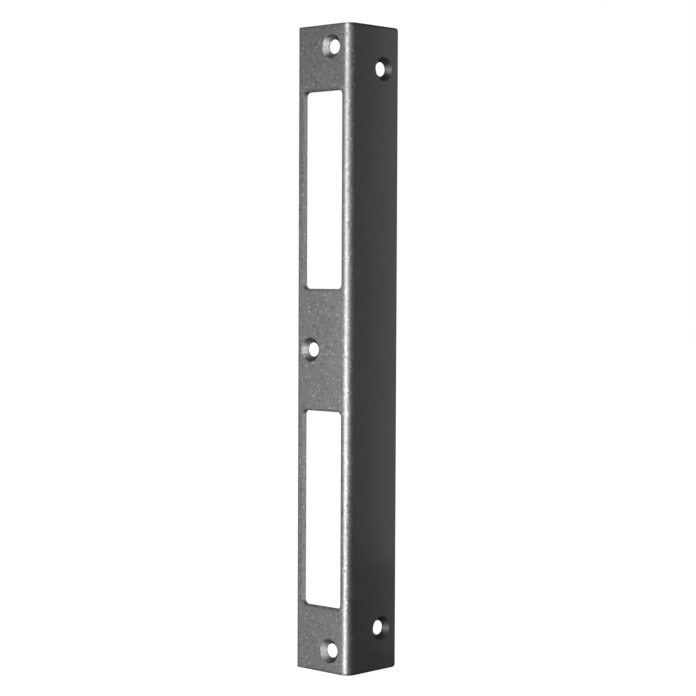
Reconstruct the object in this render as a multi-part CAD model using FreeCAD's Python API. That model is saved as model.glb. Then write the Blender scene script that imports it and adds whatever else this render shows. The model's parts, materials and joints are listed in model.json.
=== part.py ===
# Angled door strike plate: one steel sheet, folded lengthwise to a right angle.
#
# The strike flange takes the latch and the bolt of the lock through two equal windows, and three
# countersunk screws fix it: one near each end, close to the fold, and one in the middle, close to
# the free edge. The side flange laps round the edge of the frame and takes two more screws. The
# plate is the same above and below its middle, so it suits left and right doors.
#
# Z runs along the plate. The strike flange's back face lies in the plane Y = 0 and its show face
# looks along -Y. The side flange's show face looks along +X. The origin is where the middle
# screw hole's axis meets the strike flange's back face. All sizes are in millimetres.
import FreeCAD
import Part
import math
import os

# Sheet and fold
sheet_thickness = 2.0
inner_bend_radius = 1.5

# Plate, with each flange measured over the outside of the fold
plate_length = 230.0
strike_flange_width = 25.0
side_flange_width = 25.0
strike_corner_radius = 0.5
side_corner_radius = 1.2

# Windows, given by the metal that is left round them
window_to_fold = 3.8
window_to_free_edge = 2.4
window_to_end = 23.25
web_between_windows = 43.5
window_corner_radius = 1.75

# Screw holes
screw_hole_diameter = 5.0
countersink_diameter = 8.6
countersink_degrees = 90.0
end_hole_to_fold = 9.2
end_hole_to_end = 7.8
middle_hole_to_free_edge = 6.0
side_hole_to_free_edge = 7.5
side_hole_to_end = 15.0

# Edges of the show side, rounded by the punch and by the paint
edge_rounding = 0.15

# How far a cutter stands out past the sheet
cutter_overrun = 1.0

# Sizes that follow from those above. The fold's outside corner is at X = 0, Y = 0 until the
# finished plate is moved to its own origin.
outer_bend_radius = inner_bend_radius + sheet_thickness
half_length = plate_length / 2
window_length = half_length - web_between_windows / 2 - window_to_end
window_width = strike_flange_width - window_to_fold - window_to_free_edge
middle_hole_to_fold = strike_flange_width - middle_hole_to_free_edge
side_hole_to_fold = side_flange_width - side_hole_to_free_edge
screw_hole_radius = screw_hole_diameter / 2
countersink_radius = countersink_diameter / 2
countersink_widening = math.tan(math.radians(countersink_degrees / 2))
countersink_depth = (countersink_radius - screw_hole_radius) / countersink_widening

INTO_STRIKE_FLANGE = FreeCAD.Vector(0, 1, 0)
INTO_SIDE_FLANGE = FreeCAD.Vector(-1, 0, 0)
SAME_PLACE = 1e-6


def point(x, y):
    """A point of the angle's section, at the plate's lower end."""
    return FreeCAD.Vector(x, y, -half_length)


def bend_arc(radius, start_degrees, end_degrees):
    """A quarter arc of the fold between two directions from its centre."""

    def on_arc(degrees):
        turn = math.radians(degrees)
        return point(
            radius * math.cos(turn) - outer_bend_radius,
            radius * math.sin(turn) + outer_bend_radius,
        )

    middle_degrees = (start_degrees + end_degrees) / 2
    arc = Part.Arc(on_arc(start_degrees), on_arc(middle_degrees), on_arc(end_degrees))
    return arc.toShape()


def angle_section():
    """The section of the folded sheet: two flanges joined by a true bend."""
    strike_end = -strike_flange_width
    strike_back = sheet_thickness
    side_end = side_flange_width
    side_back = -sheet_thickness
    tangent = outer_bend_radius
    edges = [
        Part.makeLine(point(strike_end, 0), point(-tangent, 0)),
        bend_arc(outer_bend_radius, -90, 0),
        Part.makeLine(point(0, tangent), point(0, side_end)),
        Part.makeLine(point(0, side_end), point(side_back, side_end)),
        Part.makeLine(point(side_back, side_end), point(side_back, tangent)),
        bend_arc(inner_bend_radius, 0, -90),
        Part.makeLine(point(-tangent, strike_back), point(strike_end, strike_back)),
        Part.makeLine(point(strike_end, strike_back), point(strike_end, 0)),
    ]
    return Part.Face(Part.Wire(edges))


def edges_along(solid, direction, length):
    """The straight edges of a solid that have a given direction and length."""
    found = []
    for edge in solid.Edges:
        run = edge.Vertexes[-1].Point - edge.Vertexes[0].Point
        parallel = run.cross(direction).Length < SAME_PLACE
        if parallel and abs(run.Length - length) < SAME_PLACE:
            found.append(edge)
    return found


def round_free_corners(plate):
    """Rounds the two free corners of each flange."""
    for into_sheet, radius in (
        (INTO_STRIKE_FLANGE, strike_corner_radius),
        (INTO_SIDE_FLANGE, side_corner_radius),
    ):
        corners = edges_along(plate, into_sheet, sheet_thickness)
        plate = plate.makeFillet(radius, corners)
    return plate


def window_cutter(low_end):
    """A block with rounded corners that punches one window, from its low end upwards."""
    corner = FreeCAD.Vector(-window_to_fold - window_width, -cutter_overrun, low_end)
    depth = sheet_thickness + 2 * cutter_overrun
    block = Part.makeBox(window_width, depth, window_length, corner)
    corners = edges_along(block, INTO_STRIKE_FLANGE, depth)
    return block.makeFillet(window_corner_radius, corners)


def screw_hole_cutter(on_show_face, into_sheet):
    """A countersunk hole: a cone from the show face, then a short straight wall."""
    start = on_show_face - into_sheet * cutter_overrun
    drill = Part.makeCylinder(
        screw_hole_radius, sheet_thickness + 2 * cutter_overrun, start, into_sheet
    )
    sink = Part.makeCone(
        countersink_radius + countersink_widening * cutter_overrun,
        screw_hole_radius,
        countersink_depth + cutter_overrun,
        start,
        into_sheet,
    )
    return drill.fuse(sink)


def strike_flange_holes():
    """Cutters for the three screw holes of the strike flange."""
    end_height = half_length - end_hole_to_end
    places = (
        (-end_hole_to_fold, -end_height),
        (-middle_hole_to_fold, 0),
        (-end_hole_to_fold, end_height),
    )
    return [
        screw_hole_cutter(FreeCAD.Vector(x, 0, z), INTO_STRIKE_FLANGE)
        for x, z in places
    ]


def side_flange_holes():
    """Cutters for the two screw holes of the side flange."""
    end_height = half_length - side_hole_to_end
    return [
        screw_hole_cutter(FreeCAD.Vector(0, side_hole_to_fold, z), INTO_SIDE_FLANGE)
        for z in (-end_height, end_height)
    ]


def is_show_face(face):
    """Whether a face is the outside of a flange or of the fold."""
    if isinstance(face.Surface, Part.Cylinder):
        lengthwise = abs(face.Surface.Axis.z) > 1 - SAME_PLACE
        return lengthwise and abs(face.Surface.Radius - outer_bend_radius) < SAME_PLACE
    middle = face.CenterOfMass
    return abs(middle.x) < SAME_PLACE or abs(middle.y) < SAME_PLACE


def show_side_outline(plate):
    """The edges where the show side ends: its outline, the windows and the countersinks."""
    show_faces = [face for face in plate.Faces if is_show_face(face)]
    outline = []
    for edge in plate.Edges:
        touching = [f for f in show_faces if any(edge.isSame(e) for e in f.Edges)]
        if len(touching) == 1:
            outline.append(edge)
    return outline


def strike_plate():
    """The whole plate, at its own origin."""
    plate = angle_section().extrude(FreeCAD.Vector(0, 0, plate_length))
    plate = round_free_corners(plate)
    half_web = web_between_windows / 2
    cutters = [window_cutter(half_web), window_cutter(-half_web - window_length)]
    cutters += strike_flange_holes() + side_flange_holes()
    plate = plate.cut(cutters)
    plate = plate.Solids[0]
    plate = plate.makeFillet(edge_rounding, show_side_outline(plate))
    plate.translate(FreeCAD.Vector(middle_hole_to_fold, -sheet_thickness, 0))
    return plate


os.makedirs("parts", exist_ok=True)
strike_plate().exportStep("parts/strike_plate.step")
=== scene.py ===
# The angled door strike plate as it looks: one folded steel sheet in dark silver grey hammer paint,
# standing on a pale floor in a small photo studio.
import bmesh
import bpy
import json
import math
from mathutils import Matrix, Vector


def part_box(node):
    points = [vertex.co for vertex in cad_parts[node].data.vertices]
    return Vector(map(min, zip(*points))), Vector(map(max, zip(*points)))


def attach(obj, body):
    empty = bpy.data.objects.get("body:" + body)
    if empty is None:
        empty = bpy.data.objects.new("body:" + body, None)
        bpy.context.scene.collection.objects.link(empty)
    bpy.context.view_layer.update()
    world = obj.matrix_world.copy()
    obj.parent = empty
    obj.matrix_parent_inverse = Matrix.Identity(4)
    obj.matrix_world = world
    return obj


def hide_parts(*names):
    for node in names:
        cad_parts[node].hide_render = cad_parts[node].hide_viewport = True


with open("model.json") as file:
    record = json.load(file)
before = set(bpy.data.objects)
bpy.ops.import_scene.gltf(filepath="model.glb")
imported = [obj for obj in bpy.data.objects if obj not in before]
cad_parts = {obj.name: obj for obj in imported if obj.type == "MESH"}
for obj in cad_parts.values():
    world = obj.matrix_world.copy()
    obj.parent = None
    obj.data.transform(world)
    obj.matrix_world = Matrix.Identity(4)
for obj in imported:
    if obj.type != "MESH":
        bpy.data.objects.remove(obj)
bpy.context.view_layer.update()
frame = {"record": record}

MM = 0.001
# Two places that are closer together than this are the same.
SAME_PLACE = 1e-7

# The sheet, in the frame's metres. The strike flange's back face lies at Y = 0.
NODE = "strike_plate"
low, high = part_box(NODE)
middle = (low + high) / 2
thickness = -low.y
inner_bend_radius = 1.5 * MM
outer_bend_radius = inner_bend_radius + thickness
bend_centre_x = high.x - outer_bend_radius
bend_centre_y = low.y + outer_bend_radius
strike_corner_radius = 0.5 * MM
side_corner_radius = 1.2 * MM

# The show face laid out flat. Across it, u runs from the strike flange's free edge over the bend to
# the side flange's free edge, and v is the height.
strike_flat = high.x - low.x - outer_bend_radius
side_flat = high.y - low.y - outer_bend_radius
bend_arc = outer_bend_radius * math.pi / 2
bend_end = strike_flat + bend_arc
developed_width = bend_end + side_flat

# The windows, given by the metal that is left round them. The lower one mirrors the upper one.
window_to_fold = 3.8 * MM
window_to_free_edge = 2.4 * MM
window_to_end = 23.25 * MM
web_between_windows = 43.5 * MM
window_corner_radius = 1.75 * MM
window_fold_side = high.x - low.x - window_to_fold
window_bottom = web_between_windows / 2
window_top = high.z - window_to_end

# The screw holes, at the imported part's mounts
mounts = {m["name"]: m for m in frame["record"]["mounts"]}
hole_radius = mounts["middle_screw_hole"]["dims"]["r_mm"] * MM
hole_land = mounts["middle_screw_hole"]["dims"]["length_mm"] * MM
sink_radius = 4.3 * MM
sink_width = sink_radius - hole_radius
sink_depth = thickness - hole_land

# Rounded edges
show_edge_radius = 0.06 * MM
back_edge_radius = 0.08 * MM
least_corner_radius = 0.05 * MM

# Painted shade on the flanges, made by darkening the paint: towards edges that run across the plate,
# and along the windows' fold side, where a narrow rim leaves room for the bend. The strike flange
# takes less.
rim_width = 1.0 * MM
fold_side_rim = 0.2 * MM
fold_side_shade_width = 1.5 * MM
fold_side_shade = 0.8
strike_flange_share = 0.73

# Painted shade in a countersink: above and below the hole, on the side towards the fold, where the
# shade reaches its full strength early, and in a ring at the hole's edge
strike_hole_shade = 0.22
side_hole_shade = 0.9
towards_fold_gain = 2
hole_ring_width = 0.45 * MM
strike_hole_ring = 0.45
side_hole_ring = 0.8

# How finely curves are divided, from how many degrees on an edge is sharp, and how strongly large
# faces keep the shading flat
bend_steps = 24
corner_steps = 8
hole_steps = 96
edge_steps = 5
sharp_edge_angle = 32
strong_face_weight = 100


def even_steps(total, count):
    """Numbers from 0 to a total, evenly spaced."""
    return [total * step / count for step in range(count + 1)]


def add_object(name, data):
    """A new object in the scene."""
    made = bpy.data.objects.new(name, data)
    bpy.context.scene.collection.objects.link(made)
    return made


def on_sheet(u, v, depth):
    """The point of the folded sheet at a place on its developed show face, some way into it."""
    if u <= strike_flat:
        return Vector((low.x + u, low.y + depth, v))
    if u <= bend_end:
        turn = (u - strike_flat) / outer_bend_radius
        radius = outer_bend_radius - depth
        x = bend_centre_x + radius * math.sin(turn)
        y = bend_centre_y - radius * math.cos(turn)
        return Vector((x, y, v))
    return Vector((high.x - depth, bend_centre_y + u - bend_end, v))


def rounded_loop(u0, u1, v0, v1, left_reach, right_reach, stops=()):
    """A rectangle on the developed sheet, its corners rounded by some reach along u and v."""
    points = []
    corners = (
        (u1, v0, right_reach, -90),
        (u1, v1, right_reach, 0),
        (u0, v1, left_reach, 90),
        (u0, v0, left_reach, 180),
    )
    for index, (corner_u, corner_v, (reach_u, reach_v), start) in enumerate(corners):
        centre_u = corner_u - math.copysign(reach_u, corner_u - u0 - SAME_PLACE)
        centre_v = corner_v - math.copysign(reach_v, corner_v - v0 - SAME_PLACE)
        for turned in even_steps(90, corner_steps):
            turn = math.radians(start + turned)
            points.append((centre_u + reach_u * math.cos(turn), centre_v + reach_v * math.sin(turn)))
        if index == 1:
            points += [(stop, v1) for stop in reversed(stops)]
        if index == 3:
            points += [(stop, v0) for stop in stops]
    return points


def bend_stops():
    """Places on the developed sheet where the bend is divided, its two ends among them."""
    return [strike_flat + along for along in even_steps(bend_arc, bend_steps)]


def bend_heights():
    """Heights at which the bend is divided, with whether each is beside a window's straight side."""
    upper = [
        (window_bottom, False),
        (window_bottom + window_corner_radius, True),
        (window_top - window_corner_radius, True),
        (window_top, False),
    ]
    return [(-v, beside) for v, beside in reversed(upper)] + upper


def flange_share(u):
    """How much of the painted shade the paint takes: all on the side flange, some on the strike
    flange.
    """
    turned = min(max((u - strike_flat) / bend_arc, 0), 1)
    return strike_flange_share + (1 - strike_flange_share) * turned


def edge_shade(place, edge, far):
    """The painted shade at a place near an edge, strongest at the edge and gone at the end of its
    rim.
    """
    reach = math.dist(far, edge)
    # The painted shade is full on edges that run across the plate, which face up or down, and none
    # on upright ones
    share = abs(far[1] - edge[1]) / reach
    width = rim_width
    # Only the windows' fold side has so narrow a rim; there the painted shade is strong and reaches
    # further
    on_fold_side = reach < rim_width / 2
    if on_fold_side:
        share = max(share, fold_side_shade)
        width = fold_side_shade_width
    return flange_share(edge[0]) * share * max(1 - math.dist(place, edge) / width, 0)


def countersink_shade(hole_shade, hole_ring, fold_side):
    """The painted shade in a flange's countersinks, with the fold on their side 1 or -1 along u."""

    def shade(place, edge, far):
        from_hole = math.dist(place, edge)
        if from_hole > sink_width:
            return 0
        reach = math.dist(far, edge)
        above_or_below = abs(far[1] - edge[1]) / reach
        towards_fold = fold_side * (far[0] - edge[0]) / reach
        return max(
            hole_shade * above_or_below,
            min(towards_fold_gain * towards_fold, 1),
            hole_ring * max(1 - from_hole / hole_ring_width, 0),
        )

    return shade


def outline(inset):
    """The sheet's outline, some way inside its edge."""
    strike_reach = max(strike_corner_radius - inset, least_corner_radius)
    side_reach = max(side_corner_radius - inset, least_corner_radius)
    return rounded_loop(
        inset,
        developed_width - inset,
        low.z + inset,
        high.z - inset,
        (strike_reach, strike_reach),
        (side_reach, side_reach),
        bend_stops(),
    )


def window_loop(low_end, high_end):
    """The outline of one window, as a function of how far it lies inside the metal."""
    squeeze = (fold_side_rim - show_edge_radius) / (rim_width - show_edge_radius)

    def loop(inset):
        fold_inset = min(inset, show_edge_radius)
        fold_inset += squeeze * (inset - fold_inset)
        reach = window_corner_radius + inset
        return rounded_loop(
            window_to_free_edge - inset,
            window_fold_side + fold_inset,
            low_end - inset,
            high_end + inset,
            (reach, reach),
            (window_corner_radius + fold_inset, reach),
        )

    return loop


def hole_loop(u, v):
    """The outline of one screw hole, as a function of how far it lies inside the metal."""

    def loop(inset):
        radius = hole_radius + inset
        turns = even_steps(2 * math.pi, hole_steps)[:-1]
        return [(u + radius * math.cos(t), v + radius * math.sin(t)) for t in turns]

    return loop


def show_edge(wall_inset, turn):
    """The rounding where the show face turns down into a wall, as (inset, depth) pairs."""
    return [
        (wall_inset - show_edge_radius * math.sin(t), show_edge_radius * (1 - math.cos(t)))
        for t in even_steps(turn, edge_steps)
    ]


def back_edge():
    """The rounding where a wall meets the back face, as (inset, depth) pairs."""
    start = thickness - back_edge_radius
    return [
        (back_edge_radius * (1 - math.cos(t)), start + back_edge_radius * math.sin(t))
        for t in even_steps(math.pi / 2, edge_steps)
    ]


def wall_profile():
    """A plain wall through the sheet: its rim on the show face, and its two rounded edges."""
    return [(rim_width, 0)] + show_edge(show_edge_radius, math.pi / 2) + back_edge()


def countersink_profile():
    """A countersunk wall: rounded edge, cone with a step where its ring of painted shade ends, and
    short land.
    """
    slope = math.atan2(sink_depth, sink_width)
    edge_inset = sink_width + show_edge_radius * math.tan(slope / 2)
    ring_end = (hole_ring_width, sink_depth * (1 - hole_ring_width / sink_width))
    return show_edge(edge_inset, slope) + [ring_end, (0, sink_depth)] + back_edge()


class Sheet:
    """Collects the folded sheet's mesh. Its vertices keep the shade painted into the paint's colour
    as their rim value.
    """

    def __init__(self):
        self.mesh = bmesh.new()
        # Each vertex keeps as its rim value how much painted shade the paint takes there
        self.rim = self.mesh.verts.layers.float.new("rim")
        self.show_rings = []
        self.back_rings = []

    def wall(self, loop, profile, shade=edge_shade):
        """Adds a wall through the sheet and keeps its two end rings. Its back stays unshaded.

        A shade depends on a place, the wall's edge beside it and the end of the rim beside it.
        """
        rings = []
        back_start = thickness - back_edge_radius + SAME_PLACE
        for inset, depth in profile:
            ring = []
            for (u, v), edge, far in zip(loop(inset), loop(0), loop(rim_width)):
                vertex = self.mesh.verts.new(on_sheet(u, v, depth))
                if depth < back_start:
                    vertex[self.rim] = shade((u, v), edge, far)
                ring.append((u, v, vertex))
            rings.append(ring)
        for ring, deeper in zip(rings, rings[1:]):
            for index in range(len(ring)):
                following = (index + 1) % len(ring)
                corners = (ring[index], ring[following], deeper[following], deeper[index])
                self.mesh.faces.new([vertex for u, v, vertex in corners])
        self.show_rings.append(rings[0])
        self.back_rings.append(rings[-1])

    def skin(self, rings, depth):
        """Fills the show side or the back between the walls: two flats and the bend."""
        outer = rings[0]
        columns = [self.bend_column(outer, stop, depth) for stop in bend_stops()]
        for left, right in zip(columns, columns[1:]):
            for index in range(len(left) - 1):
                self.mesh.faces.new(
                    (left[index], right[index], right[index + 1], left[index + 1])
                )
        strike_limit = strike_flat + SAME_PLACE
        side_limit = bend_end - SAME_PLACE
        strike_rings = [r for r in rings[1:] if r[0][0] < strike_limit]
        side_rings = [r for r in rings[1:] if r[0][0] > side_limit]
        self.flat(outer, columns[0], strike_rings, lambda u: u < strike_limit)
        self.flat(outer, columns[-1], side_rings, lambda u: u > side_limit)

    def bend_column(self, outer, stop, depth):
        """A line of vertices along the bend, from the outline's low edge to its high edge."""
        ends = [e for e in outer if abs(e[0] - stop) < SAME_PLACE]
        ends.sort(key=lambda e: e[1])
        start, end = ends[0], ends[-1]
        column = [start[2]]
        from_window = stop - window_fold_side
        # Painted shade on the bend beside the windows' fold side, fading away from it
        shade = fold_side_shade * max(1 - from_window / fold_side_shade_width, 0)
        for v, beside_window in bend_heights():
            vertex = self.mesh.verts.new(on_sheet(stop, v, depth))
            if beside_window and depth == 0:
                vertex[self.rim] = shade * flange_share(stop)
            column.append(vertex)
        return column + [end[2]]

    def flat(self, outer, column, inner_rings, belongs):
        """Fills one flat flange between the outline, the bend and the openings in it."""
        edges = set()
        for ring in [outer] + inner_rings:
            for index, place in enumerate(ring):
                following = ring[(index + 1) % len(ring)]
                if belongs(place[0]) and belongs(following[0]):
                    edges.add(self.edge(place[2], following[2]))
        for first, second in zip(column, column[1:]):
            edges.add(self.edge(first, second))
        bmesh.ops.triangle_fill(self.mesh, use_beauty=True, edges=list(edges))

    def edge(self, first, second):
        """The edge between two vertices, made if it isn't there."""
        return self.mesh.edges.get((first, second)) or self.mesh.edges.new((first, second))


def hole_places():
    """Where the screw holes lie on the developed sheet."""
    middle_hole = mounts["middle_screw_hole"]["pos_m"]
    ends = mounts["end_screw_holes"]
    sides = mounts["side_screw_holes"]
    end_half = ends["dims"]["spacing_y_mm"] * MM / 2
    side_half = sides["dims"]["spacing_y_mm"] * MM / 2
    side_u = sides["pos_m"][1] - bend_centre_y + bend_end
    places = [(middle_hole[0] - low.x, middle_hole[2])]
    places += [(ends["pos_m"][0] - low.x, sign * end_half) for sign in (-1, 1)]
    places += [(side_u, sign * side_half) for sign in (-1, 1)]
    return places


def build_plate():
    """The folded plate as one closed mesh, in place of the node."""
    sheet = Sheet()
    sheet.wall(outline, wall_profile())
    sheet.wall(window_loop(window_bottom, window_top), wall_profile())
    sheet.wall(window_loop(-window_top, -window_bottom), wall_profile())
    strike_shade = countersink_shade(strike_hole_shade, strike_hole_ring, 1)
    side_shade = countersink_shade(side_hole_shade, side_hole_ring, -1)
    for u, v in hole_places():
        shade = strike_shade if u < strike_flat else side_shade
        sheet.wall(hole_loop(u, v), countersink_profile(), shade)
    sheet.skin(sheet.show_rings, 0)
    sheet.skin(sheet.back_rings, thickness)
    bmesh.ops.recalc_face_normals(sheet.mesh, faces=sheet.mesh.faces)
    data = bpy.data.meshes.new("folded_plate")
    sheet.mesh.to_mesh(data)
    sheet.mesh.free()
    for polygon in data.polygons:
        polygon.use_smooth = True
    data.set_sharp_from_angle(angle=math.radians(sharp_edge_angle))
    data.materials.append(hammer_paint())
    plate = add_object("folded_plate", data)
    weighted = plate.modifiers.new("even_normals", "WEIGHTED_NORMAL")
    weighted.keep_sharp = True
    weighted.weight = strong_face_weight
    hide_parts(NODE)
    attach(plate, "root")


class Shader:
    """Short calls for laying out a material's or the world's nodes."""

    def __init__(self, owner):
        owner.use_nodes = True
        self.tree = owner.node_tree
        self.tree.nodes.clear()

    def node(self, kind, **settings):
        made = self.tree.nodes.new(kind)
        for name, value in settings.items():
            setattr(made, name, value)
        return made

    def link(self, source, target):
        self.tree.links.new(source, target)

    def surface(self, source, output="ShaderNodeOutputMaterial"):
        self.link(source, self.node(output).inputs["Surface"])

    def noise(self, coordinates, rate, detail):
        made = self.node("ShaderNodeTexNoise")
        made.inputs["Scale"].default_value = rate
        made.inputs["Detail"].default_value = detail
        self.link(coordinates, made.inputs["Vector"])
        return made.outputs["Fac"]

    def spread(self, value, from_low, from_high, to_low, to_high):
        """A value that goes from one number to another while another value does the same."""
        made = self.node("ShaderNodeMapRange")
        for name, number in (
            ("From Min", from_low),
            ("From Max", from_high),
            ("To Min", to_low),
            ("To Max", to_high),
        ):
            made.inputs[name].default_value = number
        self.link(value, made.inputs["Value"])
        return made.outputs["Result"]

    def calculate(self, operation, first, second):
        made = self.node("ShaderNodeMath", operation=operation)
        for socket, value in zip(made.inputs, (first, second)):
            if isinstance(value, (int, float)):
                socket.default_value = value
            else:
                self.link(value, socket)
        return made.outputs["Value"]

    def background_seen(self):
        """1 for a ray that shows the background: from the camera, off metal or through glass."""
        rays = self.node("ShaderNodeLightPath").outputs
        seen = self.calculate("MAXIMUM", rays["Is Camera Ray"], rays["Is Glossy Ray"])
        return self.calculate("MAXIMUM", seen, rays["Is Transmission Ray"])


def grey(level):
    """A grey colour."""
    return (level, level, level, 1)


# The paint. A rate is how many marks there are to a metre. A spot begins and is full at two values
# of the noise, and a tone is what a mark makes of the paint's level.
paint_level = 0.249
paint_metallic = 0.97
paint_roughness = (0.41, 0.47)
grain_rate = 1280
grain_detail = 1.0
grain_contrast = 1.6
grain_height = 0.03 * MM
side_flange_grain = 0.12
spot_rate = 1150
spot_detail = 0.0
bright_spots = (0.67, 0.78)
bright_spot_tone = 1.7
dark_spots = (0.33, 0.22)
dark_spot_tone = 0.6
patch_rate = 260
patch_detail = 2.0
patch_tone = (0.98, 1.02)
cloud_rate = 45
cloud_detail = 1.0
cloud_tone = (0.97, 1.03)
# How dark the painted shade in the rim value makes the paint at its strongest
painted_shade_tone = 0.25
noise_middle = 0.5
noise_range = (0.3, 0.7)


def hammer_paint():
    """Dark silver grey hammer paint: fine grain, strong on the strike flange, and painted shade."""
    material = bpy.data.materials.new("hammer_paint")
    s = Shader(material)
    paint = s.node("ShaderNodeBsdfPrincipled")
    s.surface(paint.outputs["BSDF"])
    where = s.node("ShaderNodeTexCoord").outputs["Object"]
    place = s.node("ShaderNodeSeparateXYZ")
    s.link(where, place.inputs["Vector"])
    # The grain is strong up to the middle of the bend and has faded where the side flange begins.
    bend_middle = low.y + outer_bend_radius / 2
    strength = s.spread(place.outputs["Y"], bend_middle, bend_centre_y, 1, side_flange_grain)

    grain = s.calculate("SUBTRACT", s.noise(where, grain_rate, grain_detail), noise_middle)
    grain = s.calculate("MULTIPLY", grain, strength)
    tone = s.calculate("POWER", grain_contrast, grain)
    spots = s.noise(where, spot_rate, spot_detail)
    for limits, spot_tone in ((bright_spots, bright_spot_tone), (dark_spots, dark_spot_tone)):
        spot = s.calculate("MULTIPLY", s.spread(spots, *limits, 0, 1), strength)
        tone = s.calculate("MULTIPLY", tone, s.spread(spot, 0, 1, 1, spot_tone))
    patches = s.noise(where, patch_rate, patch_detail)
    clouds = s.noise(where, cloud_rate, cloud_detail)
    # Painted shade, kept as the mesh's rim value: towards edges across the plate, in the
    # countersinks and beside the windows' fold side
    rim = s.node("ShaderNodeAttribute", attribute_name="rim").outputs["Fac"]
    for mark, limits, tones in (
        (patches, noise_range, patch_tone),
        (clouds, noise_range, cloud_tone),
        (rim, (0, 1), (1, painted_shade_tone)),
    ):
        tone = s.calculate("MULTIPLY", tone, s.spread(mark, *limits, *tones))
    level = s.calculate("MULTIPLY", tone, paint_level)
    colour = s.node("ShaderNodeCombineColor")
    for channel in ("Red", "Green", "Blue"):
        s.link(level, colour.inputs[channel])
    s.link(colour.outputs["Color"], paint.inputs["Base Color"])
    paint.inputs["Metallic"].default_value = paint_metallic
    s.link(s.spread(patches, *noise_range, *paint_roughness), paint.inputs["Roughness"])

    bump = s.node("ShaderNodeBump")
    bump.inputs["Distance"].default_value = grain_height
    s.link(grain, bump.inputs["Height"])
    s.link(bump.outputs["Normal"], paint.inputs["Normal"])
    return material


# The studio. Azimuth 0 is in front of the strike flange and 90 in front of the side flange.
# A cloth in the dome: its lowest and highest azimuth, its lowest and highest elevation, its level
dome_radius = 1.5
dome_step = 5
dome_cloths = {
    "ceiling": (-90, 180, 40, 90, 0.054),
    "ceiling_behind": (-180, -90, 40, 90, 0.75),
    "behind_high": (-180, -90, 0, 40, 0.5),
    "behind_low": (-180, -90, -40, 0, 0.1),
    "left": (-90, -45, -40, 10, 0.34),
    "front_left": (-45, -15, -10, 10, 1.69),
    "front_left_low": (-45, -15, -40, -10, 0.73),
    "front": (-15, 15, -10, 10, 0.53),
    "front_high": (-15, 15, 10, 40, 1.26),
    "front_low": (-15, 15, -40, -10, 0.4),
    "front_right": (15, 45, -10, 40, 2.41),
    "right": (45, 90, -10, 10, 0.2),
    "dark": (-180, 180, -90, 90, 0.0),
}

# An upright card: its two ends, its bottom and top, its level. Cards are placed in millimetres from
# the plate's middle.
side_near_start = (13.1, 32.9)
side_far_start = (30.8, 21.7)
side_far_end = (160, -60)
upright_cards = {
    "side_near": (side_near_start, side_far_start, -80, 170, 0.313),
    "side_near_low": (side_near_start, side_far_start, -250, -80, 0.205),
    "side_far": (side_far_start, side_far_end, -80, 170, 0.114),
    "side_far_low": (side_far_start, side_far_end, -250, -80, 0.068),
    "inside_angle": ((7.5, -6), (7.5, 12), 0, 120, 1.25),
    "inside_angle_low": ((7.5, -6), (7.5, 12), -120, 0, 1.4),
    "behind_windows": ((-14, 12.5), (7.5, 12.5), -120, 120, 0.3),
}

# A stack of three cards close to the fold, which gives it its bright band: two azimuths seen from
# the bend's centre, and the cards' levels from the lowest card up. The dark ones hide what is
# behind them.
fold_card_distance = 22
fold_card_heights = (-150, -50, 50, 150)
fold_cards = {
    "fold_left": (-20, 0, (0.1, 0.07, 0.09)),
    "fold_front": (0, 15, (3.94, 4.72, 4.74)),
    "fold_right": (15, 30, (2.67, 2.93, 3.19)),
    "fold_far_right": (30, 50, (0.0, 1.01, 0.59)),
}
floor_card_corners = ((15, -20), (110, 120))
floor_card_level = 0.07

# A lamp: its azimuth, its height and its power. The low one shines up through the floor, which
# casts no shadow but keeps the plate's.
lamp_distance = 0.9
lamp_size = 0.115
lamps = {
    "high": (10.5, 0.10, 0.2),
    "low": (18, -0.20, 2.5),
}
background_level = 1.0
fill_level = 0.25
floor_half_size = 3.0
floor_level = 0.8
floor_glow = 0.9


def direction(azimuth, elevation):
    """The way from the plate to a place in the studio."""
    a, e = math.radians(azimuth), math.radians(elevation)
    return Vector((math.sin(a) * math.cos(e), -math.cos(a) * math.cos(e), math.sin(e)))


def white_world():
    """White for what the camera and reflections see, and a soft grey fill for the rest."""
    world = bpy.data.worlds.new("studio")
    bpy.context.scene.world = world
    s = Shader(world)
    mix = s.node("ShaderNodeMixShader")
    s.link(s.background_seen(), mix.inputs["Fac"])
    for socket, level in ((mix.inputs[1], fill_level), (mix.inputs[2], background_level)):
        background = s.node("ShaderNodeBackground")
        background.inputs["Color"].default_value = grey(level)
        s.link(background.outputs["Background"], socket)
    s.surface(mix.outputs["Shader"], "ShaderNodeOutputWorld")


def pale_floor():
    """A white floor under the plate, which keeps the plate's soft shadow and casts none."""
    data = bpy.data.meshes.new("floor")
    ends = (-floor_half_size, floor_half_size)
    corners = [(x, y, 0) for y in ends for x in ends]
    data.from_pydata(corners, [], [(0, 1, 3, 2)])
    floor = add_object("floor", data)
    floor.location = (middle.x, middle.y, low.z)
    floor.visible_glossy = False
    floor.visible_shadow = False
    material = bpy.data.materials.new("floor")
    s = Shader(material)
    matt = s.node("ShaderNodeBsdfDiffuse")
    matt.inputs["Color"].default_value = grey(floor_level)
    glow = s.node("ShaderNodeEmission")
    s.link(s.calculate("MULTIPLY", s.background_seen(), floor_glow), glow.inputs["Strength"])
    both = s.node("ShaderNodeAddShader")
    s.link(matt.outputs["BSDF"], both.inputs[0])
    s.link(glow.outputs["Emission"], both.inputs[1])
    s.surface(both.outputs["Shader"])
    data.materials.append(material)


def cloth(name, level):
    """A matt cloth of one grey level, whatever light falls on it."""
    material = bpy.data.materials.new(name)
    s = Shader(material)
    glow = s.node("ShaderNodeEmission")
    glow.inputs["Strength"].default_value = level
    s.surface(glow.outputs["Emission"])
    return material


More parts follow.
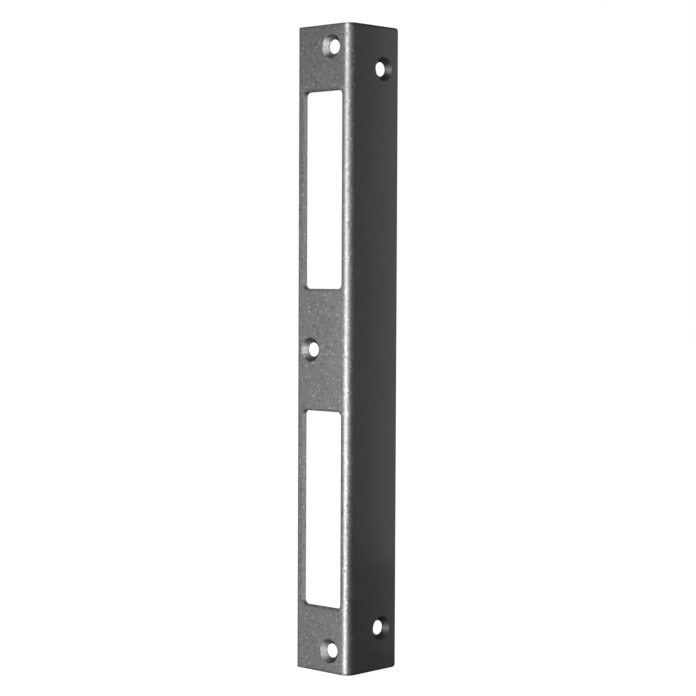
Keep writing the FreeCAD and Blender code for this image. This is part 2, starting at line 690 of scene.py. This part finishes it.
def reflected_only(name, points, level):
    """A cloth of four-cornered pieces that only the paint's reflections see."""
    data = bpy.data.meshes.new(name)
    faces = [(i, i + 1, i + 2, i + 3) for i in range(0, len(points), 4)]
    data.from_pydata(points, [], faces)
    data.materials.append(cloth(name, level))
    made = add_object(name, data)
    made.visible_camera = False
    made.visible_diffuse = False
    made.visible_shadow = False
    made.visible_transmission = False


def cloth_dome():
    """A closed dome round the plate. Each part of it is made of the first cloth that covers it."""
    points = {name: [] for name in dome_cloths}
    for azimuth in range(-180, 180, dome_step):
        for elevation in range(-90, 90, dome_step):
            name = next(
                name
                for name, (a0, a1, e0, e1, level) in dome_cloths.items()
                if a0 <= azimuth < a1 and e0 <= elevation < e1
            )
            corners = (
                (azimuth, elevation),
                (azimuth + dome_step, elevation),
                (azimuth + dome_step, elevation + dome_step),
                (azimuth, elevation + dome_step),
            )
            points[name] += [middle + dome_radius * direction(*corner) for corner in corners]
    for name, corners in points.items():
        reflected_only(name, corners, dome_cloths[name][-1])


def upright_card(name, start, end, bottom, top, level):
    """An upright card between two places."""
    points = [
        middle + MM * Vector((x, y, z))
        for (x, y), z in ((start, bottom), (end, bottom), (end, top), (start, top))
    ]
    reflected_only(name, points, level)


def fold_stack(name, start, end, levels):
    """Upright cards one above another, close to the fold, between two azimuths."""
    centre = Vector((bend_centre_x, bend_centre_y)) - middle.xy
    ends = [centre / MM + fold_card_distance * direction(a, 0).xy for a in (start, end)]
    for index, level in enumerate(levels):
        bottom, top = fold_card_heights[index : index + 2]
        upright_card(f"{name}_{index}", *ends, bottom, top, level)


def floor_card(name, corners, level):
    """A card on the floor between two corners."""
    (x0, y0), (x1, y1) = corners
    points = [
        Vector((middle.x + x * MM, middle.y + y * MM, low.z))
        for x, y in ((x0, y0), (x1, y0), (x1, y1), (x0, y1))
    ]
    reflected_only(name, points, level)


def soft_lamp(name, azimuth, height, power):
    """A small soft lamp that faces the plate at its own height."""
    data = bpy.data.lights.new(name, "AREA")
    data.size = lamp_size
    data.energy = power
    lamp = add_object(name, data)
    target = Vector((middle.x, middle.y, height))
    lamp.location = target + lamp_distance * direction(azimuth, 0)
    lamp.rotation_euler = (target - lamp.location).to_track_quat("-Z", "Y").to_euler()


# The photograph's camera, found by fitting the plate's outline. It stands in front of the fold and
# looks slightly down. The sensor's width is in millimetres.
camera_azimuth = 43.13
camera_pitch_down = 2.15
camera_roll = 0.244
picture_size = 696
focal_pixels = 1926.5
fold_corner_pixel = (349.03, 351.25)
fold_corner_distance = 675.9 * MM
sensor_width = 36.0
nearest_seen = 0.05


def photo_camera():
    """A camera that sees the fold's outside corner where the photograph has it."""
    a, roll = math.radians(camera_azimuth), math.radians(camera_roll)
    back = direction(camera_azimuth, camera_pitch_down)
    level_right = Vector((math.cos(a), math.sin(a), 0))
    level_up = back.cross(level_right)
    right = math.cos(roll) * level_right + math.sin(roll) * level_up
    up = math.cos(roll) * level_up - math.sin(roll) * level_right
    half = picture_size / 2
    across = (fold_corner_pixel[0] - half) / focal_pixels * fold_corner_distance
    above = (half - fold_corner_pixel[1]) / focal_pixels * fold_corner_distance
    fold_corner = Vector((high.x, low.y, middle.z))
    place = fold_corner + back * fold_corner_distance - right * across - up * above
    data = bpy.data.cameras.new("camera")
    data.sensor_width = sensor_width
    data.lens = focal_pixels / picture_size * sensor_width
    data.clip_start = nearest_seen
    camera = add_object("camera", data)
    turn = Matrix((right, up, back)).transposed().to_4x4()
    camera.matrix_world = Matrix.Translation(place) @ turn
    bpy.context.scene.camera = camera


build_plate()
white_world()
pale_floor()
cloth_dome()
for name, sizes in upright_cards.items():
    upright_card(name, *sizes)
for name, sizes in fold_cards.items():
    fold_stack(name, *sizes)
floor_card("floor_card", floor_card_corners, floor_card_level)
for name, sizes in lamps.items():
    soft_lamp(name, *sizes)
photo_camera()

bpy.context.scene.view_settings.view_transform = "Standard"
